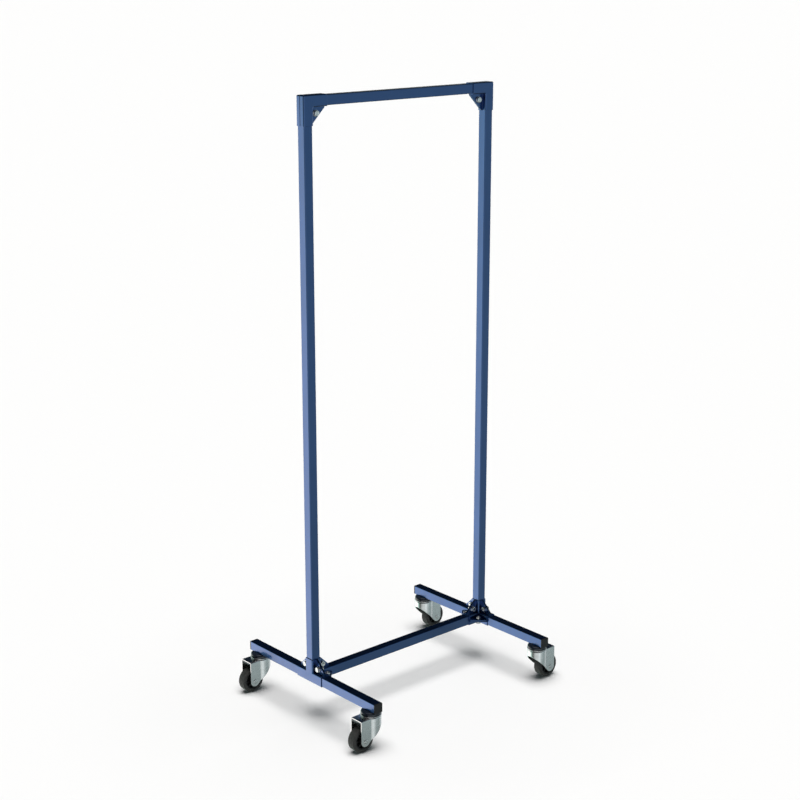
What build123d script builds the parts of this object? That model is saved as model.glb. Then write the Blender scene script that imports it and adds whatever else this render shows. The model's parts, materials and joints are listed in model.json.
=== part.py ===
from build123d import *
from build123d import SkipClean
import os
from math import acos, atan2, cos, hypot, sin, sqrt

# Rolling clothes rack: square steel tube held together by bolted pressed-steel clamps,
# on four swivel casters. Millimetres. Z is up, X runs along the hanging rail, Y is the
# depth. The origin is on the floor, below the middle of the rack.

# ---------------------------------------------------------------- driving dimensions
TUBE = 25.0                # outside of the square tube
TUBE_WALL = 1.5
TUBE_CORNER = 2.0          # outside corner radius of the tube
POST_SPACING = 595.0       # between the centre lines of the two posts
FOOT_LENGTH = 510.0        # bare tube, without its end caps
RAIL_TOP = 1595.0          # top face of the hanging rail above the floor
CASTER_HEIGHT = 102.0      # floor to the underside of the feet

SHEET = 2.0                # pressed sheet of the clamps
CLAMP_GAP = 1.5            # slot between neighbouring clamp shells
CLAMP_CORNER = 3.5         # outside bend radius of a clamp
CLAMP_SEAT_CORNER = 1.5    # inside bend radius, tighter than the tube's corner
BASE_REACH = 49.0          # arm length of a base clamp, from the tube's centre line
BASE_BOLT = 25.5           # clamp bolt, from both tube centre lines
TOP_REACH = 58.0
TOP_BOLT = 30.0
WEB_NOSE = 3.0             # flat left at each end of a gusset's slanted edge
ARM_ROOT = 5.0             # how far an arm starts behind the crossing of the centre lines
POST_END_GAP = 1.5         # play above the post inside its top clamp

BOLT_R = 4.0               # M8
BOLT_HOLE_R = 4.5
BOLT_TAIL = 2.5            # thread that shows beyond the nut
BOLT_TIP_CHAMFER = 0.6
HEX_FLATS = 13.0
HEX_FACE = 0.94            # round face of a hexagon, as a share of its flats
HEAD_HEIGHT = 5.3
NUT_HEIGHT = 6.5
NUT_BORE_R = 4.05
WASHER_R = 8.0
WASHER_BORE_R = 4.2
WASHER_THICK = 1.6

CAP_FLANGE = 4.0
CAP_EDGE = 1.2             # rounding of the flange's outer edge
CAP_PLUG_DEPTH = 12.0
CAP_PLUG_WALL = 2.0
CAP_PLUG_CORNER = 1.0
CAP_PLUG_CLEARANCE = 0.1

CASTER_INSET = 30.0        # swivel axis, from the outer face of the end cap
TRAIL = 34.0               # axle behind the swivel axis
FORK_SHEET = 2.2
FORK_NOSE_R = 26.0         # round skirt about the swivel axis
FORK_HALF_WIDTH = 20.5     # outside of the flat legs
FORK_LEG_END_R = 14.0      # round lower end of a leg, about the axle
FORK_NOSE_DROP = 28.5      # lower edge at the nose, below the underside of the feet
FORK_BEND = 3.0            # outside bend between the crown and the skirt
CROWN_DROP = 13.0          # top of the fork below the underside of the feet
CROWN_THICK = 2.5
LIP_R = 24.0               # raised ring round the race
LIP_WIDTH = 2.5
LIP_HEIGHT = 1.4

COLLAR_R = 26.0
COLLAR_HEIGHT = 11.0
COLLAR_DOME = 5.0          # rounding of its upper edge
COLLAR_HEM = 1.0           # rounding of its lower edge
STEM_R = 5.0               # M10
STEM_HOLE_R = 5.2
STEM_BORE_R = 5.08         # running fit of the fork on its kingpin
STEM_TAIL = 2.0            # stud above its nut
STEM_CHAMFER = 1.0
STEM_FOOT_R = 9.0          # round foot of the kingpin, below the crown
STEM_FOOT_THICK = 3.0
STEM_FOOT_EDGE = 1.2
STEM_NUT_FLATS = 16.0
STEM_NUT_HEIGHT = 8.0
BALL_R = 2.2
BALL_COUNT = 20
BALL_PITCH_R = 18.5
BALL_CENTRE_DROP = 12.0

WHEEL_R = 32.5
WHEEL_WIDTH = 25.0
TYRE_SHOULDER_R = 3.5
TYRE_STEP = 1.0            # tyre narrower beside the rim
RIM_R = 24.0
RIM_HALF = 11.0
RIM_SKIN = 3.0
RIM_DRAFT = 0.5
HUB_R = 10.5
HUB_HALF = 15.5
HUB_DRAFT = 1.0
DISC_HALF = 3.5
RIB_COUNT = 8
RIB_THICK = 2.0
RIB_RECESS = 1.5           # ribs lie below the rim's edge
RIB_ROOT = 0.5             # how far a rib starts inside the hub
AXLE_R = 4.0
AXLE_HEAD_R = 5.5
AXLE_HEAD_HEIGHT = 1.8
AXLE_HEAD_DOME = 1.3
AXLE_TAIL = 1.5            # thread beyond the axle nut
BUSH_R = 6.0
RUNNING_GAP = 0.05
BODY_GAP = 0.3             # between curved faces of pieces that move apart

# ---------------------------------------------------------------- derived places
POST_X = POST_SPACING / 2
HALF_TUBE = TUBE / 2
BASE_Z = CASTER_HEIGHT + HALF_TUBE      # centre line of the feet and the cross bar
TOP_Z = RAIL_TOP - HALF_TUBE            # centre line of the hanging rail
SLEEVE = TUBE + 2 * SHEET
HALF_SLEEVE = SLEEVE / 2
HALF_GAP = CLAMP_GAP / 2
CASTER_Y = FOOT_LENGTH / 2 + CAP_FLANGE - CASTER_INSET
AXLE_Z = WHEEL_R
CROWN_TOP = CASTER_HEIGHT - CROWN_DROP
PAST = 1.0                              # how far a cutting shape runs past a face
SAME_PLACE = 0.01                       # two places closer than this are one
ROOM = Vector(100, 100, 100)            # half of a box that holds any clamp

os.makedirs("parts", exist_ok=True)


def save(name, *solids):
    """Write one node; several solids make a group of separate pieces."""
    shapes = [solid for shape in solids for solid in shape.solids()]
    node = shapes[0] if len(shapes) == 1 else Compound(children=shapes)
    export_step(node, f"parts/{name}.step")


def bar(side, corner, start, end):
    """Square bar with rounded long edges between two points on one axis."""
    run = Vector(end) - Vector(start)
    across = (0, 1, 0) if abs(run.X) > 0 else (1, 0, 0)
    plane = Plane(origin=start, x_dir=across, z_dir=run)
    return extrude(plane * RectangleRounded(side, side, corner), run.length)


def tube_bore(start, end):
    return bar(TUBE - 2 * TUBE_WALL, TUBE_CORNER - TUBE_WALL, start, end)


def tube(start, end):
    return bar(TUBE, TUBE_CORNER, start, end) - tube_bore(start, end)


def cross_tube(z, covered):
    """Tube from post to post; its faces are split where the clamps over its ends stop."""
    half = POST_X - HALF_TUBE
    stops = [Vector(x, 0, z) for x in (-half, covered - half, half - covered, half)]
    first, middle, last = [bar(TUBE, TUBE_CORNER, a, b) for a, b in zip(stops, stops[1:])]
    with SkipClean():
        return first.fuse(middle, last).cut(tube_bore(stops[0], stops[-1]))


def rod(radius, start, end):
    run = Vector(end) - Vector(start)
    return extrude(Plane(origin=start, z_dir=run) * Circle(radius), run.length)


def block(low, high):
    size = Vector(high) - Vector(low)
    return Pos(*((Vector(low) + Vector(high)) / 2)) * Box(size.X, size.Y, size.Z)


# ---------------------------------------------------------------- fasteners
def hexagon(flats, height):
    """Hexagon prism standing on the XY plane, its upper corners turned off at 30 degrees."""
    prism = extrude(RegularPolygon(flats / sqrt(3), 6), height)
    face_r = HEX_FACE * flats / 2
    turned_off = Cone(face_r + height * sqrt(3), face_r, height,
                      align=(Align.CENTER, Align.CENTER, Align.MIN))
    return prism & turned_off


def bolt(grip):
    """Bolt along +Z with its head below; the clamped stack starts at z = 0."""
    head = Rot(180, 0, 0) * hexagon(HEX_FLATS, HEAD_HEIGHT)
    shank = extrude(Circle(BOLT_R), grip + NUT_HEIGHT + BOLT_TAIL)
    shank = chamfer(shank.edges().sort_by(Axis.Z)[-1], BOLT_TIP_CHAMFER)
    return head + shank


def nut(flats, height, bore_r):
    return hexagon(flats, height) - extrude(Circle(bore_r), height)


def washer():
    return extrude(Circle(WASHER_R) - Circle(WASHER_BORE_R), WASHER_THICK)


bolts, nuts, washers = [], [], []


def fasten(centre, direction):
    """Bolt two gusset plates at a mid-plane; the head is on the side it points away from."""
    half_stack = HALF_GAP + SHEET
    plane = Plane(origin=centre, z_dir=direction)
    below = plane * Pos(0, 0, -half_stack - WASHER_THICK)
    washers.append(below * washer())
    bolts.append(below * bolt(2 * half_stack + WASHER_THICK))
    nuts.append(plane * Pos(0, 0, half_stack) * nut(HEX_FLATS, NUT_HEIGHT, NUT_BORE_R))


# ---------------------------------------------------------------- clamps
def gusset(reach, bolt_offset):
    """Triangular plate in the first quadrant of XY, 0 to SHEET thick, with its bolt hole."""
    root = HALF_SLEEVE - SHEET / 2
    tip = HALF_SLEEVE + WEB_NOSE
    outline = Polyline((root, root), (reach, root), (reach, tip), (tip, reach), (root, reach),
                       close=True)
    plate = extrude(make_face(outline), SHEET)
    return plate - Pos(bolt_offset, bolt_offset, 0) * Cylinder(BOLT_HOLE_R, 3 * SHEET)


def web(centre, first, second, side, reach, bolt_offset):
    """Gusset between two arm directions, set off the mid-plane towards one side."""
    normal = Vector(first).cross(Vector(second))
    plane = Plane(origin=centre, x_dir=first, z_dir=normal)
    offset = HALF_GAP if normal.dot(Vector(side)) > 0 else -HALF_GAP - SHEET
    return plane * Pos(0, 0, offset) * gusset(reach, bolt_offset)


def cut_room(centre, toward):
    """Box about the centre that stops at the slot on every side a direction points away from."""
    low, high = centre - ROOM, centre + ROOM
    for direction in toward:
        slot = centre + direction * HALF_GAP
        low = Vector(*(s if d > 0 else a for a, s, d in zip(low, slot, direction)))
        high = Vector(*(s if d < 0 else a for a, s, d in zip(high, slot, direction)))
    return block(low, high)


def base_clamp():
    """Four pressed shells round post, foot and cross bar, on the right-hand side."""
    centre = Vector(POST_X, 0, BASE_Z)
    outward, inward = Vector(1, 0, 0), Vector(-1, 0, 0)
    front, rear, up, down = Vector(0, -1, 0), Vector(0, 1, 0), Vector(0, 0, 1), Vector(0, 0, -1)

    def arms(side, corner, reach):
        foot = bar(side, corner, centre + front * reach, centre + rear * reach)
        post = bar(side, corner, centre - up * ARM_ROOT, centre + up * reach)
        cross = bar(side, corner, centre - inward * ARM_ROOT, centre + inward * reach)
        return foot + post + cross

    skin = arms(SLEEVE, CLAMP_CORNER, BASE_REACH)
    seat = arms(TUBE, CLAMP_SEAT_CORNER, BASE_REACH + PAST)

    def shell(toward, webs):
        """Keep the skin on the given sides of the slots and add its gussets."""
        part = skin & cut_room(centre, toward)
        for first, second, side in webs:
            part += web(centre, first, second, side, BASE_REACH, BASE_BOLT)
        return part - seat

    for lean in (front, rear):
        fasten(centre + (lean + up) * BASE_BOLT, inward)
        fasten(centre + (lean + inward) * BASE_BOLT, up)
    fasten(centre + (inward + up) * BASE_BOLT, rear)
    shells = {"outer": shell([outward], [(front, up, outward), (rear, up, outward)]),
              "lower": shell([inward, down], [(front, inward, down), (rear, inward, down)])}
    for label, lean in (("front", front), ("rear", rear)):
        webs = [(lean, up, inward), (inward, up, lean), (lean, inward, up)]
        shells[label] = shell([inward, up, lean], webs)
    return shells


def elbow(half, corner, reach):
    """Solid L along the right-hand post and the rail, its long edges rounded."""
    x, z = POST_X, TOP_Z
    outline = Polyline((x + half, z + half), (x - reach, z + half), (x - reach, z - half),
                       (x - half, z - half), (x - half, z - reach), (x + half, z - reach),
                       close=True)
    solid = extrude(Plane.XZ * make_face(outline), half, both=True)

    def is_open_end(edge):
        middle = edge.center()
        return min(abs(middle.X - x + reach), abs(middle.Z - z + reach)) < SAME_PLACE

    return fillet([edge for edge in solid.edges() if not is_open_end(edge)], corner)


def top_clamp():
    """Front and rear half shells of the elbow between the right-hand post and the rail."""
    centre = Vector(POST_X, 0, TOP_Z)
    inward, down, rear = Vector(-1, 0, 0), Vector(0, 0, -1), Vector(0, 1, 0)
    skin = elbow(HALF_SLEEVE, CLAMP_CORNER, TOP_REACH)
    seat = elbow(HALF_TUBE, CLAMP_SEAT_CORNER, TOP_REACH + PAST)
    fasten(centre + (inward + down) * TOP_BOLT, rear)
    shells = {}
    for label, lean in (("front", -rear), ("rear", rear)):
        half = skin & cut_room(centre, [lean])
        half += web(centre, inward, down, lean, TOP_REACH, TOP_BOLT)
        shells[label] = half - seat
    return shells


# ---------------------------------------------------------------- frame
def end_cap(y_sign, x):
    """Moulded plug with a flange that covers the end of a foot."""
    end_y = y_sign * FOOT_LENGTH / 2
    plug_side = TUBE - 2 * TUBE_WALL - 2 * CAP_PLUG_CLEARANCE
    hollow_side = plug_side - 2 * CAP_PLUG_WALL
    seat, tip = (x, end_y, BASE_Z), (x, end_y + y_sign * CAP_FLANGE, BASE_Z)
    depth = (x, end_y - y_sign * CAP_PLUG_DEPTH, BASE_Z)
    flange = bar(TUBE, TUBE_CORNER, seat, tip)
    outer_face = flange.faces().sort_by(Axis.Y)[-1 if y_sign > 0 else 0]
    flange = fillet(outer_face.edges(), CAP_EDGE)
    plug = bar(plug_side, CAP_PLUG_CORNER, depth, seat)
    return flange + plug - bar(hollow_side, CAP_PLUG_CORNER, depth, seat)


def foot(x):
    """Foot tube with a hole in its lower wall for each caster stem."""
    half = FOOT_LENGTH / 2
    body = tube((x, -half, BASE_Z), (x, half, BASE_Z))
    for y in (-CASTER_Y, CASTER_Y):
        body -= rod(STEM_HOLE_R, (x, y, CASTER_HEIGHT - PAST), (x, y, CASTER_HEIGHT + TUBE_WALL + PAST))
    return body


def on_side(shape, sign):
    """Pieces are modelled for the right-hand side and mirrored for the left."""
    return shape if sign > 0 else mirror(shape, Plane.YZ)


save("top_rail", cross_tube(TOP_Z, TOP_REACH - HALF_TUBE))
save("cross_bar", cross_tube(BASE_Z, BASE_REACH - HALF_TUBE))
base_shells, top_shells = base_clamp(), top_clamp()
for side, sign in (("left", -1), ("right", 1)):
    x = sign * POST_X
    save(f"{side}_post", tube((x, 0, BASE_Z + HALF_TUBE), (x, 0, RAIL_TOP - POST_END_GAP)))
    save(f"{side}_foot", foot(x))
    for end, y_sign in (("front", -1), ("rear", 1)):
        save(f"{end}_{side}_end_cap", end_cap(y_sign, x))
    for label, shell in base_shells.items():
        save(f"{side}_base_clamp_{label}", on_side(shell, sign))
    for label, shell in top_shells.items():
        save(f"{side}_top_clamp_{label}", on_side(shell, sign))
for kind, pieces in (("bolts", bolts), ("nuts", nuts), ("washers", washers)):
    save(f"clamp_{kind}", *[on_side(piece, sign) for piece in pieces for sign in (-1, 1)])


# ---------------------------------------------------------------- caster
# Built about x = y = 0 with its wheel towards +X, then put in its place.
def kingpin():
    """M10 stud with a round foot below the fork's crown, up into the tube."""
    foot_top = CROWN_TOP - CROWN_THICK - BODY_GAP
    top = CASTER_HEIGHT + TUBE_WALL + STEM_NUT_HEIGHT + STEM_TAIL
    stud = rod(STEM_R, (0, 0, foot_top), (0, 0, top))
    stud = chamfer(stud.edges().sort_by(Axis.Z)[-1], STEM_CHAMFER)
    head = rod(STEM_FOOT_R, (0, 0, foot_top - STEM_FOOT_THICK), (0, 0, foot_top))
    return stud + fillet(head.edges().sort_by(Axis.Z)[0], STEM_FOOT_EDGE)


def kingpin_nut():
    body = nut(STEM_NUT_FLATS, STEM_NUT_HEIGHT, STEM_R + RUNNING_GAP)
    return Pos(0, 0, CASTER_HEIGHT + TUBE_WALL) * body


def race_groove(radius):
    return Pos(0, 0, CASTER_HEIGHT - BALL_CENTRE_DROP) * Torus(BALL_PITCH_R, radius)


def collar():
    """Black domed cover under the foot, with the upper ball race in its underside."""
    low = CASTER_HEIGHT - COLLAR_HEIGHT
    body = rod(COLLAR_R, (0, 0, low), (0, 0, CASTER_HEIGHT))
    body = fillet(body.edges().sort_by(Axis.Z)[-1], COLLAR_DOME)
    body = fillet(body.edges().sort_by(Axis.Z)[0], COLLAR_HEM)
    body -= rod(STEM_HOLE_R, (0, 0, low - PAST), (0, 0, CASTER_HEIGHT + PAST))
    return body - race_groove(BALL_R + BODY_GAP)


def fork_plan(shrink, rear_x):
    """Plan of the fork: a round nose about the swivel axis and two straight legs."""
    legs = Pos(rear_x / 2, 0) * Rectangle(rear_x, 2 * (FORK_HALF_WIDTH - shrink))
    return Circle(FORK_NOSE_R - shrink) + legs


def fork_side():
    """Side view of the fork: sloping lower edge, round end about the axle, upright rear edge."""
    nose_x, nose_z = -FORK_NOSE_R - PAST, CASTER_HEIGHT - FORK_NOSE_DROP
    reach_x, reach_z = nose_x - TRAIL, nose_z - AXLE_Z
    angle = atan2(reach_z, reach_x) + acos(FORK_LEG_END_R / hypot(reach_x, reach_z))
    tangent = (TRAIL + FORK_LEG_END_R * cos(angle), AXLE_Z + FORK_LEG_END_R * sin(angle))
    rear_x, top = TRAIL + FORK_LEG_END_R, CROWN_TOP + PAST
    outline = Polyline((nose_x, top), (nose_x, nose_z), tangent, (TRAIL, AXLE_Z), (rear_x, AXLE_Z),
                       (rear_x, top), close=True)
    profile = make_face(outline) + Pos(TRAIL, AXLE_Z) * Circle(FORK_LEG_END_R)
    return extrude(Plane.XZ * profile, FORK_NOSE_R + PAST, both=True)


def fork():
    """Pressed fork: crown with raised race ring, wrapped nose and two legs."""
    rear_x = TRAIL + FORK_LEG_END_R + 2 * FORK_BEND
    foot_z = AXLE_Z - FORK_LEG_END_R - PAST
    outside = Pos(0, 0, foot_z) * extrude(fork_plan(0, rear_x), CROWN_TOP - foot_z)
    outside = fillet(outside.faces().sort_by(Axis.Z)[-1].edges(), FORK_BEND)
    inside = extrude(fork_plan(FORK_SHEET, rear_x + PAST), CROWN_TOP - CROWN_THICK - foot_z)
    body = (outside - Pos(0, 0, foot_z) * inside) & fork_side()
    body += Pos(0, 0, CROWN_TOP) * extrude(Circle(LIP_R) - Circle(LIP_R - LIP_WIDTH), LIP_HEIGHT)
    body -= race_groove(BALL_R + RUNNING_GAP)
    body -= rod(STEM_BORE_R, (0, 0, CROWN_TOP - CROWN_THICK - PAST), (0, 0, CROWN_TOP + PAST))
    side_y = FORK_HALF_WIDTH + PAST
    return body - rod(AXLE_R + 2 * RUNNING_GAP, (TRAIL, -side_y, AXLE_Z), (TRAIL, side_y, AXLE_Z))


def balls():
    race = Pos(0, 0, CASTER_HEIGHT - BALL_CENTRE_DROP)
    return [race * place * Sphere(BALL_R) for place in PolarLocations(BALL_PITCH_R, BALL_COUNT)]


def axle():
    """Headed pin through the legs, threaded at its far end."""
    near, far = -FORK_HALF_WIDTH, FORK_HALF_WIDTH + NUT_HEIGHT + AXLE_TAIL
    pin = rod(AXLE_R, (TRAIL, near, AXLE_Z), (TRAIL, far, AXLE_Z))
    pin = chamfer(pin.edges().sort_by(Axis.Y)[-1], BOLT_TIP_CHAMFER)
    head = rod(AXLE_HEAD_R, (TRAIL, near - AXLE_HEAD_HEIGHT, AXLE_Z), (TRAIL, near, AXLE_Z))
    return pin + fillet(head.edges().sort_by(Axis.Y)[0], AXLE_HEAD_DOME)


def axle_nut():
    body = nut(HEX_FLATS, NUT_HEIGHT, NUT_BORE_R)
    return Pos(TRAIL, FORK_HALF_WIDTH, AXLE_Z) * Rot(-90, 0, 0) * body


def bush():
    """Sleeve that the wheel turns on, held between the legs."""
    half = FORK_HALF_WIDTH - FORK_SHEET - RUNNING_GAP
    span = (TRAIL, -half, AXLE_Z), (TRAIL, half, AXLE_Z)
    return rod(BUSH_R, *span) - rod(AXLE_R + RUNNING_GAP, *span)


def turned(points):
    """Solid of revolution about the axle, from (radius, half-width) points of its right half."""
    mirrored = [(radius, -width) for radius, width in reversed(points)]
    face = make_face(Polyline(*points, *mirrored, close=True))
    return Pos(TRAIL, 0, AXLE_Z) * Rot(90, 0, 0) * revolve(Plane.XZ * face, Axis.Z)


def wheel_core():
    """Moulded wheel centre: hub, disc, rim and ribs on both faces."""
    rim_inner = RIM_R - RIM_SKIN
    body = turned([(BUSH_R + RUNNING_GAP, HUB_HALF), (HUB_R, HUB_HALF), (HUB_R + HUB_DRAFT, DISC_HALF),
                   (rim_inner, DISC_HALF), (rim_inner + RIM_DRAFT, RIM_HALF), (RIM_R, RIM_HALF)])
    rib_from, rib_to = HUB_R - RIB_ROOT, RIM_R - RIM_SKIN / 2
    rib = Box(rib_to - rib_from, 2 * (RIM_HALF - RIB_RECESS), RIB_THICK)
    for step in range(RIB_COUNT):
        turn = Rot(0, step * 360 / RIB_COUNT, 0)
        body += Pos(TRAIL, 0, AXLE_Z) * turn * Pos((rib_from + rib_to) / 2, 0, 0) * rib
    return body


def tyre():
    """Solid rubber tyre with rounded shoulders and a shallow step beside the rim."""
    half = WHEEL_WIDTH / 2
    body = turned([(RIM_R, half - TYRE_STEP), (RIM_R + TYRE_STEP, half), (WHEEL_R, half)])
    rims = body.edges().filter_by(GeomType.CIRCLE)
    return fillet([edge for edge in rims if edge.radius > WHEEL_R - SAME_PLACE], TYRE_SHOULDER_R)


kingpins, kingpin_nuts = [], []
for side, sign in (("left", -1), ("right", 1)):
    for end, y_sign in (("front", -1), ("rear", 1)):
        name = f"{end}_{side}"
        place = Pos(sign * POST_X, y_sign * CASTER_Y, 0)

        def put(shape):
            return place * on_side(shape, sign)

        kingpins.append(put(kingpin()))
        kingpin_nuts.append(put(kingpin_nut()))
        save(f"{name}_collar", put(collar()))
        save(f"{name}_fork", put(fork()))
        save(f"{name}_bearing_balls", *[put(ball) for ball in balls()])
        save(f"{name}_axle", put(axle()))
        save(f"{name}_axle_nut", put(axle_nut()))
        save(f"{name}_bush", put(bush()))
        save(f"{name}_wheel_core", put(wheel_core()))
        save(f"{name}_tyre", put(tyre()))
save("caster_kingpins", *kingpins)
save("caster_kingpin_nuts", *kingpin_nuts)
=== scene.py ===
import bmesh
import bpy
import json
from math import cos, pi, radians, sin, tan
from mathutils import Matrix, Vector


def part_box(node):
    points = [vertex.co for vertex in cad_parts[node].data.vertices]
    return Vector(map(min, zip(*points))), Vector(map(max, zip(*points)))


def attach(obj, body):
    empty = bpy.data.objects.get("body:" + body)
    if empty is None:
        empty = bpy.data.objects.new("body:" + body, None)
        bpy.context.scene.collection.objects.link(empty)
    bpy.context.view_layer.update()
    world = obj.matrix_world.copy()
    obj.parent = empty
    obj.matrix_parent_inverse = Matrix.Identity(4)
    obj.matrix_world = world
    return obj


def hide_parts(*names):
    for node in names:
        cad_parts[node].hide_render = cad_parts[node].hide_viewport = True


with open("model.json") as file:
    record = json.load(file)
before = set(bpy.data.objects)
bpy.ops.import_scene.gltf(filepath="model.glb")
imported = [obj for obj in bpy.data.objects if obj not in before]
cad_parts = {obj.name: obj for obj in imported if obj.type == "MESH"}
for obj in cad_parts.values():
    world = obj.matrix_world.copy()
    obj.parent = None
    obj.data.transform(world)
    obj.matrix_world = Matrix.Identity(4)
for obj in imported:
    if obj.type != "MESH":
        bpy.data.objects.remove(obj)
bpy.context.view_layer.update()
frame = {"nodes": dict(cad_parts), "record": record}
scene = bpy.context.scene
MM = 0.001

# ---------------------------------------------------------------- camera, floor and light
CAMERA_AT = (-2.6834, -3.0386, 1.9297)
CAMERA_PITCH, CAMERA_TURN = radians(74.414), radians(-41.465)
LENS, SENSOR = 73.0, 36.0
FLOOR_HALF = 60.0
FLOOR_WHITE = 0.90
KEY_SPREAD = radians(49)                # the overhead soft light, seen from the floor
KEY_POWER = 2.76
KEY_TINT = (1.0, 0.985, 0.975)
# The studio walls as a glossy surface sees them: direction, inner and outer half-angle, colour
PANELS = [
    ((-0.34, 0.84, -0.42), 10, 58, (0.95, 1.42, 1.30)),     # bright wall, low on the left
    ((-0.34, 0.84, -0.42), 6, 36, (0.85, 0.25, 0.35)),      # its warmer middle
    ((0.66, -0.72, 0.05), 8, 45, (0.33, 0.43, 0.455)),      # dimmer wall at the front
    ((0.0, 0.0, 1.0), 12, 32, (1.10, 1.10, 1.10)),          # overhead softbox
    ((0.0, 0.0, -1.0), 58, 92, (0.105, 0.11, 0.09)),        # ground
    ((-0.60, -0.68, -0.42), 8, 46, (0.62, 0.68, 0.69)),     # low wall behind the camera
    ((0.62, 0.70, 0.35), 10, 50, (0.0, 0.005, 0.015)),      # dark blue wall at the back
    ((1.0, 0.0, -0.15), 8, 34, (0.55, 0.63, 0.66)),         # low fill on the right
    ((0.0, -1.0, -0.12), 8, 33, (0.50, 0.58, 0.60)),        # low fill at the front
    ((0.75, 0.66, -0.40), 8, 32, (0.45, 0.52, 0.55)),       # low fill behind the right side
]
DARK_WALL = (0.005, 0.006, 0.007)
BACKDROP = (0.97, 0.97, 0.97)           # plain pale backdrop beyond the floor


def link(obj):
    scene.collection.objects.link(obj)
    return obj


def camera():
    data = bpy.data.cameras.new("camera")
    data.lens, data.sensor_width = LENS, SENSOR
    shot = link(bpy.data.objects.new("camera", data))
    shot.location = CAMERA_AT
    shot.rotation_euler = (CAMERA_PITCH, 0, CAMERA_TURN)
    scene.camera = shot


def join(tree, value, socket):
    """Feed a socket from another node's output, or set it."""
    if isinstance(value, bpy.types.NodeSocket):
        tree.links.new(value, socket)
    else:
        socket.default_value = value


def vector_node(tree, operation, first, second):
    made = tree.nodes.new("ShaderNodeVectorMath")
    made.operation = operation
    join(tree, first, made.inputs[0])
    join(tree, second, made.inputs[1])
    return made


def mixed(tree, factor, first, second):
    """Colour mix; each colour is a tuple or another node's output."""
    made = tree.nodes.new("ShaderNodeMix")
    made.data_type = "RGBA"
    join(tree, factor, made.inputs["Factor"])
    for socket, color in zip((made.inputs[6], made.inputs[7]), (first, second)):
        join(tree, (*color, 1) if isinstance(color, tuple) else color, socket)
    return made.outputs[2]


def studio():
    """A world of soft panels, and one soft overhead lamp that casts the shadows."""
    world = bpy.data.worlds.new("studio")
    scene.world = world
    world.use_nodes = True
    tree = world.node_tree
    tree.nodes.clear()
    where = tree.nodes.new("ShaderNodeTexCoord").outputs["Generated"]
    total = DARK_WALL
    for direction, inner, outer, color in PANELS:
        dot = vector_node(tree, "DOT_PRODUCT", where, Vector(direction).normalized())
        fade = tree.nodes.new("ShaderNodeMapRange")
        fade.interpolation_type = "SMOOTHSTEP"
        tree.links.new(dot.outputs["Value"], fade.inputs["Value"])
        fade.inputs["From Min"].default_value = cos(radians(outer))
        fade.inputs["From Max"].default_value = cos(radians(inner))
        panel = vector_node(tree, "MULTIPLY", fade.outputs[0], color)
        total = vector_node(tree, "ADD", panel.outputs[0], total).outputs[0]
    seen = tree.nodes.new("ShaderNodeLightPath").outputs["Is Camera Ray"]
    background = tree.nodes.new("ShaderNodeBackground")
    tree.links.new(mixed(tree, seen, total, BACKDROP), background.inputs["Color"])
    out = tree.nodes.new("ShaderNodeOutputWorld")
    tree.links.new(background.outputs[0], out.inputs[0])

    lamp = bpy.data.lights.new("overhead", "SUN")
    lamp.energy, lamp.angle = KEY_POWER, KEY_SPREAD
    lamp.color = KEY_TINT
    overhead = link(bpy.data.objects.new("overhead", lamp))
    overhead.visible_glossy = False
    scene.view_settings.view_transform = "Standard"


def floor():
    mesh = bpy.data.meshes.new("floor")
    h = FLOOR_HALF
    mesh.from_pydata([(-h, -h, 0), (h, -h, 0), (h, h, 0), (-h, h, 0)], [], [(0, 1, 2, 3)])
    ground = link(bpy.data.objects.new("floor", mesh))
    material = bpy.data.materials.new("floor")
    material.use_nodes = True
    shader = material.node_tree.nodes["Principled BSDF"]
    shader.inputs["Base Color"].default_value = (FLOOR_WHITE, FLOOR_WHITE, FLOOR_WHITE, 1)
    shader.inputs["Roughness"].default_value = 1.0
    shader.inputs["Specular IOR Level"].default_value = 0.0
    mesh.materials.append(material)
    ground.visible_glossy = False


# ---------------------------------------------------------------- materials
def noise(tree, size, stretch=(1, 1, 1), detail=2.0):
    """Noise of about that feature size in metres, 0 to 1, fixed to the piece."""
    where = tree.nodes.new("ShaderNodeTexCoord").outputs["Object"]
    made = tree.nodes.new("ShaderNodeTexNoise")
    made.inputs["Scale"].default_value = 1 / size
    made.inputs["Detail"].default_value = detail
    tree.links.new(vector_node(tree, "MULTIPLY", where, stretch).outputs[0], made.inputs["Vector"])
    return made.outputs["Fac"]


def spread(tree, value, low, high, narrow=0.3, wide=0.7):
    """Map noise, which stays mostly between narrow and wide, onto low to high."""
    made = tree.nodes.new("ShaderNodeMapRange")
    for name, number in (("From Min", narrow), ("From Max", wide), ("To Min", low), ("To Max", high)):
        made.inputs[name].default_value = number
    tree.links.new(value, made.inputs["Value"])
    return made.outputs[0]


def bump(tree, height, depth, below=None):
    """Bump of that depth in metres, on top of another bump."""
    made = tree.nodes.new("ShaderNodeBump")
    made.inputs["Distance"].default_value = depth
    tree.links.new(height, made.inputs["Height"])
    if below:
        tree.links.new(below, made.inputs["Normal"])
    return made.outputs[0]


def new_material(name, metallic, coat=0.0, coat_roughness=0.0, specular=0.5):
    """Material with its node tree and shader ready for detail."""
    material = bpy.data.materials.new(name)
    material.use_nodes = True
    tree = material.node_tree
    shader = tree.nodes["Principled BSDF"]
    shader.inputs["Metallic"].default_value = metallic
    shader.inputs["Coat Weight"].default_value = coat
    shader.inputs["Coat Roughness"].default_value = coat_roughness
    shader.inputs["Specular IOR Level"].default_value = specular
    return material, tree, shader.inputs


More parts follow.
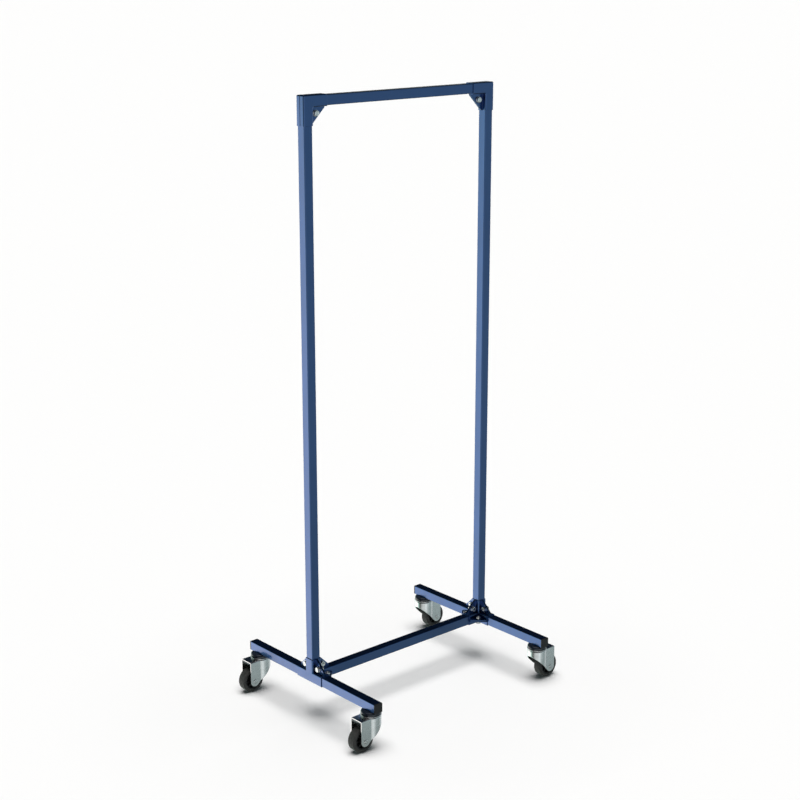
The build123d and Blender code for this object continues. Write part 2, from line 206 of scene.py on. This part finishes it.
def powder_coat():
    """Glossy pearl powder coat: soft clouds, fine flake, orange peel and faint handling rubs."""
    material, tree, shader = new_material("powder_coat", 1.0, coat=1.0, coat_roughness=0.08)
    clouds = spread(tree, noise(tree, 0.07), 0, 1)
    flake = spread(tree, noise(tree, 0.0009), 0, 0.5)
    cloudy = mixed(tree, clouds, (0.027, 0.085, 0.252), (0.033, 0.095, 0.274))
    join(tree, mixed(tree, flake, cloudy, (0.042, 0.108, 0.290)), shader["Base Color"])
    rubs = spread(tree, noise(tree, 0.022, (1, 1, 0.25), detail=6.0), 0.29, 0.37, 0.35, 0.75)
    join(tree, rubs, shader["Roughness"])
    peel = bump(tree, noise(tree, 0.0022, detail=1.0), 0.00004)
    join(tree, bump(tree, noise(tree, 0.0004), 0.000006, peel), shader["Normal"])
    return material


def zinc_plate():
    """Bright zinc on pressed and headed steel: patchy plating over drawn lines."""
    material, tree, shader = new_material("zinc_plate", 1.0)
    patches = spread(tree, noise(tree, 0.008, detail=4.0), 0, 1)
    plated = mixed(tree, patches, (0.70, 0.69, 0.69), (0.82, 0.81, 0.81))
    specks = spread(tree, noise(tree, 0.0012), 0, 0.45, 0.55, 0.75)
    join(tree, mixed(tree, specks, plated, (0.60, 0.60, 0.60)), shader["Base Color"])
    join(tree, spread(tree, noise(tree, 0.006, detail=5.0), 0.20, 0.30), shader["Roughness"])
    drawn = bump(tree, noise(tree, 0.0006, (1, 1, 0.12)), 0.000012)
    join(tree, bump(tree, noise(tree, 0.004), 0.00006, drawn), shader["Normal"])
    return material


def plain_steel():
    """Turned and hardened steel, oiled, a little darker in patches."""
    material, tree, shader = new_material("plain_steel", 1.0)
    oiled = spread(tree, noise(tree, 0.005, detail=4.0), 0, 1)
    join(tree, mixed(tree, oiled, (0.40, 0.40, 0.39), (0.56, 0.56, 0.55)), shader["Base Color"])
    join(tree, spread(tree, noise(tree, 0.003), 0.22, 0.36), shader["Roughness"])
    join(tree, bump(tree, noise(tree, 0.0005, (0.15, 0.15, 1)), 0.00001), shader["Normal"])
    return material


def black_plastic():
    """Moulded polypropylene: spark-eroded grain, slight flow marks and dust in the grain."""
    material, tree, shader = new_material("black_plastic", 0.0, specular=0.35)
    flow = spread(tree, noise(tree, 0.012, (1, 1, 0.4), detail=3.0), 0, 1)
    moulded = mixed(tree, flow, (0.010, 0.010, 0.011), (0.015, 0.015, 0.017))
    dust = spread(tree, noise(tree, 0.0008), 0, 0.35, 0.5, 0.75)
    join(tree, mixed(tree, dust, moulded, (0.045, 0.045, 0.047)), shader["Base Color"])
    join(tree, spread(tree, noise(tree, 0.004), 0.34, 0.48), shader["Roughness"])
    join(tree, bump(tree, noise(tree, 0.0007, detail=3.0), 0.00005), shader["Normal"])
    return material


def collar_gloss():
    """Smooth gloss moulding with faint sink marks and hairline scuffs."""
    material, tree, shader = new_material("collar_gloss", 0.0)
    tint = spread(tree, noise(tree, 0.015), 0, 1)
    join(tree, mixed(tree, tint, (0.010, 0.013, 0.020), (0.014, 0.018, 0.027)), shader["Base Color"])
    scuffs = spread(tree, noise(tree, 0.003, (1, 0.2, 1), detail=6.0), 0.08, 0.16, 0.4, 0.7)
    join(tree, scuffs, shader["Roughness"])
    join(tree, bump(tree, noise(tree, 0.009), 0.00005), shader["Normal"])
    return material


def tyre_rubber():
    """Solid rubber, buffed by rolling: greyer scuffed patches in a fine matt grain."""
    material, tree, shader = new_material("tyre", 0.0)
    scuffed = spread(tree, noise(tree, 0.006, detail=6.0), 0, 1, 0.4, 0.7)
    worn = mixed(tree, scuffed, (0.027, 0.026, 0.025), (0.047, 0.046, 0.044))
    grit = spread(tree, noise(tree, 0.0009), 0, 0.5, 0.55, 0.75)
    join(tree, mixed(tree, grit, worn, (0.085, 0.083, 0.080)), shader["Base Color"])
    join(tree, spread(tree, noise(tree, 0.003), 0.52, 0.72), shader["Roughness"])
    grain = bump(tree, noise(tree, 0.0005, detail=3.0), 0.00004)
    join(tree, bump(tree, noise(tree, 0.004), 0.00012, grain), shader["Normal"])
    return material


FINISHES = {"powder_coat": powder_coat(), "zinc_plate": zinc_plate(), "plain_steel": plain_steel(),
            "black_plastic": black_plastic(), "collar_gloss": collar_gloss(), "tyre": tyre_rubber()}
SHARP = radians(32)                     # edges that turn more than this are not shaded smooth
SLOT_OF = {part["node"]: part["material_slot"] for part in frame["record"]["subparts"]}
BODY_OF = {node: body for body, nodes in frame["record"]["behaviour"]["bodies"].items()
           for node in nodes}


def finish_cad():
    for node, slot in SLOT_OF.items():
        for place in frame["nodes"][node].material_slots:
            place.link = "OBJECT"
            place.material = FINISHES[slot]


def piece_from(name, bm, slot):
    """A smooth-shaded object from a finished mesh, which is used up."""
    mesh = bpy.data.meshes.new(name)
    bmesh.ops.recalc_face_normals(bm, faces=bm.faces)
    bm.to_mesh(mesh)
    bm.free()
    mesh.materials.append(FINISHES[slot])
    mesh.shade_smooth()
    return link(bpy.data.objects.new(name, mesh))


def stand_for(node, bm):
    """A detailed piece from a mesh, in place of a CAD node."""
    piece = piece_from(f"{node}_detail", bm, SLOT_OF[node])
    piece.data.set_sharp_from_angle(angle=SHARP)
    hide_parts(node)
    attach(piece, BODY_OF[node])
    return piece


# ---------------------------------------------------------------- pressed and moulded pieces
WELD = 0.002 * MM                       # CAD vertices closer than this are one
FLAT = radians(0.4)                     # faces closer to level than this are one face
BREAK_OVER = radians(30)                # edges that turn more than this get a small round
BREAK_STEPS = 2
CLAMP_BREAK, FORK_BREAK, CORE_BREAK = 0.45 * MM, 0.35 * MM, 0.3 * MM


def clean_mesh(node):
    """The CAD node's mesh as one skin, its level triangles joined into whole faces."""
    bm = bmesh.new()
    bm.from_mesh(frame["nodes"][node].data)
    plain = bmesh.new()
    corners = {vert: plain.verts.new(vert.co) for vert in bm.verts}
    for face in bm.faces:
        plain.faces.new([corners[vert] for vert in face.verts])
    bm.free()
    bmesh.ops.remove_doubles(plain, verts=plain.verts, dist=WELD)
    bmesh.ops.dissolve_degenerate(plain, edges=plain.edges, dist=WELD)
    bmesh.ops.dissolve_limit(plain, angle_limit=FLAT, verts=plain.verts, edges=plain.edges)
    return plain


def broken_edges(node, width):
    """The CAD piece with the small round that pressing or moulding leaves on its edges."""
    piece = stand_for(node, clean_mesh(node))
    round_off = piece.modifiers.new("edges", "BEVEL")
    round_off.width, round_off.segments = width, BREAK_STEPS
    round_off.limit_method, round_off.angle_limit = "ANGLE", BREAK_OVER
    round_off.use_clamp_overlap = False
    round_off.harden_normals = True


# ---------------------------------------------------------------- rings, threads and hexagons
AROUND = 48                             # steps round a turned piece
PITCH = 1.25 * MM                       # M8 coarse
THREAD_DEPTH = 0.65 * MM
THREAD_CREST = 1.35                     # flanks this steep leave a flat crest
THREAD_ROWS = 8                         # rows of vertices in one pitch
BOLT_R, TIP_CHAMFER = 4.0 * MM, 0.7 * MM
HEX_FLATS = 13.0 * MM
FACE_R = 0.94 * HEX_FLATS / 2           # round face of a bolt head or nut
HEX_CORNER = 0.985                      # forged corners are a little round
SLOPE = tan(radians(30))


def angles(count=AROUND):
    return [2 * pi * step / count for step in range(count)]


def hex_radius(angle):
    off_flat = (angle % (pi / 3)) - pi / 6
    return min(HEX_FLATS / 2 / cos(off_flat), HEX_CORNER * HEX_FLATS / 2 / cos(pi / 6))


def circle(radius, z, count=AROUND):
    return [Vector((radius * cos(a), radius * sin(a), z)) for a in angles(count)]


def hexagon(z, slope=0.0):
    """Hexagon at a height; slope moves its corners to where the chamfer meets the sides."""
    return [Vector((hex_radius(a) * cos(a), hex_radius(a) * sin(a),
                    z + slope * max(0.0, hex_radius(a) - FACE_R))) for a in angles()]


def thread(z, turn_limit):
    """One row of a right-hand thread, no wider than the limit."""
    ring = []
    for a in angles():
        phase = (z / PITCH - a / (2 * pi)) % 1.0
        ridge = min(1.0, THREAD_CREST * (1 - abs(2 * phase - 1)))
        radius = min(turn_limit, BOLT_R - THREAD_DEPTH * (1 - ridge))
        ring.append(Vector((radius * cos(a), radius * sin(a), z)))
    return ring


def add_rings(bm, place, rings, closed=False):
    """Skin between rings; the ends are filled unless the rings close on themselves."""
    rows = [[bm.verts.new(place @ point) for point in ring] for ring in rings]
    pairs = list(zip(rows, rows[1:] + rows[:1])) if closed else list(zip(rows, rows[1:]))
    for low, high in pairs:
        for step in range(len(low)):
            after = (step + 1) % len(low)
            bm.faces.new((low[step], low[after], high[after], high[step]))
    if not closed:
        bm.faces.new(rows[0])
        bm.faces.new(rows[-1])


def threaded(start, end):
    """Rows of thread up to a turned tip."""
    rows = int((end - start) / PITCH * THREAD_ROWS)
    levels = [start + (end - start) * row / rows for row in range(rows + 1)]
    return [thread(z, BOLT_R - max(0.0, z - end + TIP_CHAMFER)) for z in levels]


# ---------------------------------------------------------------- bolts, nuts and washers
HEAD_HEIGHT = 5.3 * MM
HEAD_SKIRT = 0.3 * MM                   # round bearing face below a bolt head
DISH_DEPTH = 0.25 * MM                  # forged hollow in the top of a bolt head
DISH_FLOOR, DISH_EDGE = 0.62 * FACE_R, 0.72 * FACE_R
NUT_BORE, NUT_CHAMFER = 4.05 * MM, 0.5 * MM
WASHER_BORE = 4.2 * MM
WASHER_ROLL, WASHER_BURR = 0.3, 0.12    # rounding of its two edges, as shares of its thickness
ROLL_STEP = 0.3                         # where the one point within the rolled edge lies
SAME_LEVEL = 0.1 * MM


def add_bolt(bm, place, length):
    """Bolt along +Z, its head below z = 0: forged head with a dished top, threaded shank."""
    head = [circle(DISH_FLOOR, -HEAD_HEIGHT + DISH_DEPTH), circle(DISH_EDGE, -HEAD_HEIGHT),
            circle(FACE_R, -HEAD_HEIGHT), hexagon(-HEAD_HEIGHT, SLOPE), hexagon(-HEAD_SKIRT),
            circle(FACE_R, -HEAD_SKIRT), circle(FACE_R, 0.0), circle(BOLT_R, 0.0)]
    add_rings(bm, place, head + threaded(0.0, length))


def add_nut(bm, place, height):
    """Hexagon nut from z = 0 up, both faces turned off, its bore countersunk."""
    wide = NUT_BORE + NUT_CHAMFER
    rings = [circle(wide, 0.0), circle(FACE_R, 0.0), hexagon(0.0, SLOPE), hexagon(height, -SLOPE),
             circle(FACE_R, height), circle(wide, height), circle(NUT_BORE, height - NUT_CHAMFER),
             circle(NUT_BORE, NUT_CHAMFER)]
    add_rings(bm, place, rings, closed=True)


def add_washer(bm, place, thick, outer_r):
    """Punched washer from z = 0 up: rolled upper edge, sharper break edge below."""
    roll, burr = WASHER_ROLL * thick, WASHER_BURR * thick
    step = ROLL_STEP * roll
    rings = [circle(WASHER_BORE, burr), circle(WASHER_BORE + burr, 0.0),
             circle(outer_r - burr, 0.0), circle(outer_r, burr), circle(outer_r, thick - roll),
             circle(outer_r - step, thick - step), circle(outer_r - roll, thick),
             circle(WASHER_BORE + roll, thick), circle(WASHER_BORE + step, thick - step),
             circle(WASHER_BORE, thick - roll)]
    add_rings(bm, place, rings, closed=True)


def loose_parts(node):
    """Points of each separate solid in a node that groups several."""
    bm = clean_mesh(node)
    seen, parts = set(), []
    for start in bm.verts:
        if start in seen:
            continue
        group, queue = [], [start]
        seen.add(start)
        while queue:
            vert = queue.pop()
            group.append(vert.co.copy())
            for edge in vert.link_edges:
                other = edge.other_vert(vert)
                if other not in seen:
                    seen.add(other)
                    queue.append(other)
        parts.append(group)
    bm.free()
    return parts


def span_of(points):
    low = Vector([min(p[i] for p in points) for i in range(3)])
    high = Vector([max(p[i] for p in points) for i in range(3)])
    return low, high


def standing(points, axis, flip):
    """Placement with z = 0 at one end of a solid, +Z along the axis, +X at a hexagon corner."""
    low, high = span_of(points)
    middle, along = (low + high) / 2, Vector([float(i == axis) for i in range(3)])
    start = middle.copy()
    start[axis] = high[axis] if flip else low[axis]
    z_dir = -along if flip else along
    offsets = [p - middle - along * (p - middle).dot(along) for p in points]
    x_dir = max(offsets, key=lambda offset: round(offset.length, 6)).normalized()
    turn = Matrix((x_dir, z_dir.cross(x_dir), z_dir)).transposed().to_4x4()
    return Matrix.Translation(start) @ turn, high[axis] - low[axis]


def width_at(points, axis, level):
    """How far a solid's points at one level lie from its middle."""
    low, high = span_of(points)
    middle = (low + high) / 2
    radii = [(p - middle).length for p in points if abs(p[axis] - level) < SAME_LEVEL]
    return max(radii, default=0.0)


def lying(points):
    """Placement of a nut or washer on one face, its thickness and its outer radius."""
    low, high = span_of(points)
    axis = min(range(3), key=lambda i: high[i] - low[i])
    return (*standing(points, axis, False), max(high - low) / 2)


def clamp_bolts():
    bm = bmesh.new()
    for points in loose_parts("clamp_bolts"):
        low, high = span_of(points)
        axis = max(range(3), key=lambda i: high[i] - low[i])
        head_high = width_at(points, axis, high[axis]) > width_at(points, axis, low[axis])
        place, length = standing(points, axis, head_high)
        add_bolt(bm, place @ Matrix.Translation((0, 0, HEAD_HEIGHT)), length - HEAD_HEIGHT)
    stand_for("clamp_bolts", bm)


def clamp_nuts():
    bm = bmesh.new()
    for points in loose_parts("clamp_nuts"):
        place, height, _ = lying(points)
        add_nut(bm, place, height)
    stand_for("clamp_nuts", bm)


def clamp_washers():
    bm = bmesh.new()
    for points in loose_parts("clamp_washers"):
        add_washer(bm, *lying(points))
    stand_for("clamp_washers", bm)


# ---------------------------------------------------------------- turned pieces of the casters
AXLE_THREAD = 9.0 * MM
# Head of the axle pin: radius and distance from its outer end, in millimetres
AXLE_HEAD = [(0.7, 0.50), (1.3, 0.10), (1.6, 0.0), (4.1, 0.0), (4.8, 0.18), (5.3, 0.55),
             (5.5, 1.05), (5.5, 1.6), (5.4, 1.8), (4.0, 1.8), (4.0, 3.0)]
SMOOTH_AROUND = 96                      # steps round a tyre or a race rim
# One half of the tyre: radius and distance in from its side face, in millimetres
TYRE_SIDE = [(24.0, 1.0), (24.4, 0.4), (25.0, 0.0), (26.9, 0.0), (27.2, 0.35), (27.9, 0.35),
             (28.2, 0.0), (29.0, 0.0), (30.0, 0.14), (30.9, 0.55), (31.7, 1.2), (32.2, 2.1),
             (32.42, 3.3), (32.46, 6.0), (32.42, 11.9), (32.5, 12.3)]
# Race rim: how far beyond the collar's edge and above its lower face, in millimetres
RACE_RIM = [(-1.0, -1.4), (0.2, -1.6), (0.7, -1.2), (0.95, -0.2), (0.75, 0.7), (0.2, 1.2),
            (-1.0, 1.3)]


def across(node):
    """Placement at the -Y end of a caster piece, +Z along the axle, and the piece's length."""
    low, high = (Vector(corner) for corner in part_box(node))
    turn = Matrix(((1, 0, 0), (0, 0, -1), (0, 1, 0))).transposed().to_4x4()
    start = Vector(((low.x + high.x) / 2, low.y, (low.z + high.z) / 2))
    return Matrix.Translation(start) @ turn, high.y - low.y


def axle(node):
    """Headed axle pin: low round head with a centre mark, plain shank, threaded end."""
    place, length = across(node)
    head = [circle(radius * MM, z * MM) for radius, z in AXLE_HEAD]
    bm = bmesh.new()
    add_rings(bm, place, head + threaded(length - AXLE_THREAD, length))
    stand_for(node, bm)


def axle_nut(node):
    bm = bmesh.new()
    add_nut(bm, *across(node))
    stand_for(node, bm)


def tyre(node):
    """Solid tyre: moulded ring on each side, round shoulders, parting line round the tread."""
    place, width = across(node)
    near = [circle(radius * MM, inset * MM, SMOOTH_AROUND) for radius, inset in TYRE_SIDE]
    far = [circle(radius * MM, width - inset * MM, SMOOTH_AROUND)
           for radius, inset in reversed(TYRE_SIDE)]
    bm = bmesh.new()
    add_rings(bm, place, near + far, closed=True)
    stand_for(node, bm)


def race_rim(name):
    """Bright rolled rim of the upper race, which shows below the collar."""
    low, high = (Vector(corner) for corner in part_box(f"{name}_collar"))
    middle = Vector(((low.x + high.x) / 2, (low.y + high.y) / 2, low.z))
    radius = (high.x - low.x) / 2
    bm = bmesh.new()
    rings = [circle(radius + out * MM, z * MM, SMOOTH_AROUND) for out, z in RACE_RIM]
    add_rings(bm, Matrix.Translation(middle), rings, closed=True)
    rim = piece_from(f"{name}_race_rim", bm, "zinc_plate")
    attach(rim, BODY_OF[f"{name}_collar"])


# ---------------------------------------------------------------- the scene
finish_cad()
clamp_bolts()
clamp_nuts()
clamp_washers()
for side in ("left", "right"):
    for label in ("outer", "lower", "front", "rear"):
        broken_edges(f"{side}_base_clamp_{label}", CLAMP_BREAK)
    for label in ("front", "rear"):
        broken_edges(f"{side}_top_clamp_{label}", CLAMP_BREAK)
    for end in ("front", "rear"):
        name = f"{end}_{side}"
        broken_edges(f"{name}_fork", FORK_BREAK)
        broken_edges(f"{name}_wheel_core", CORE_BREAK)
        axle(f"{name}_axle")
        axle_nut(f"{name}_axle_nut")
        tyre(f"{name}_tyre")
        race_rim(name)

camera()
studio()
floor()
